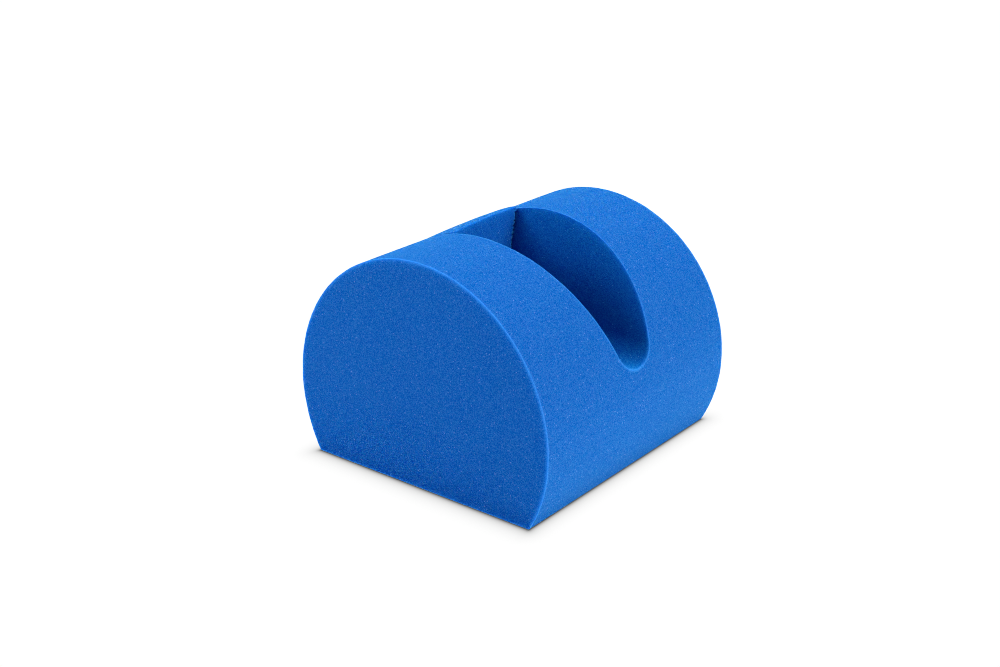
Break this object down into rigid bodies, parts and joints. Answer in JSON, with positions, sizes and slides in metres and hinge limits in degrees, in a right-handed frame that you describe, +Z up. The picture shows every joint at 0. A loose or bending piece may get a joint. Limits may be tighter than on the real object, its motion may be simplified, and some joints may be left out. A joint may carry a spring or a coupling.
{
  "type": "leg positioning foam",
  "caption": "D-section foam block lying on its flat, with a tapered round-bottomed trough across its round top for a heel and lower leg, closed at one end by a glued-in foam stop.",
  "frame": {"origin": "middle of the flat base, in the plane it rests on", "axes": "+Z up; +X along the trough towards its open end, where the leg comes in, with the end stop at -X; +Y along the axis of the round back"},
  "size_m": [0.3048, 0.3014, 0.2286],
  "materials": {
    "blue_foam": "matte open-cell polyurethane foam with a sawn surface, bare, with no cover"
  },
  "bodies": {
    "root": {"foam_block": "blue_foam", "end_stop": "blue_foam"}
  },
  "joints": []
}
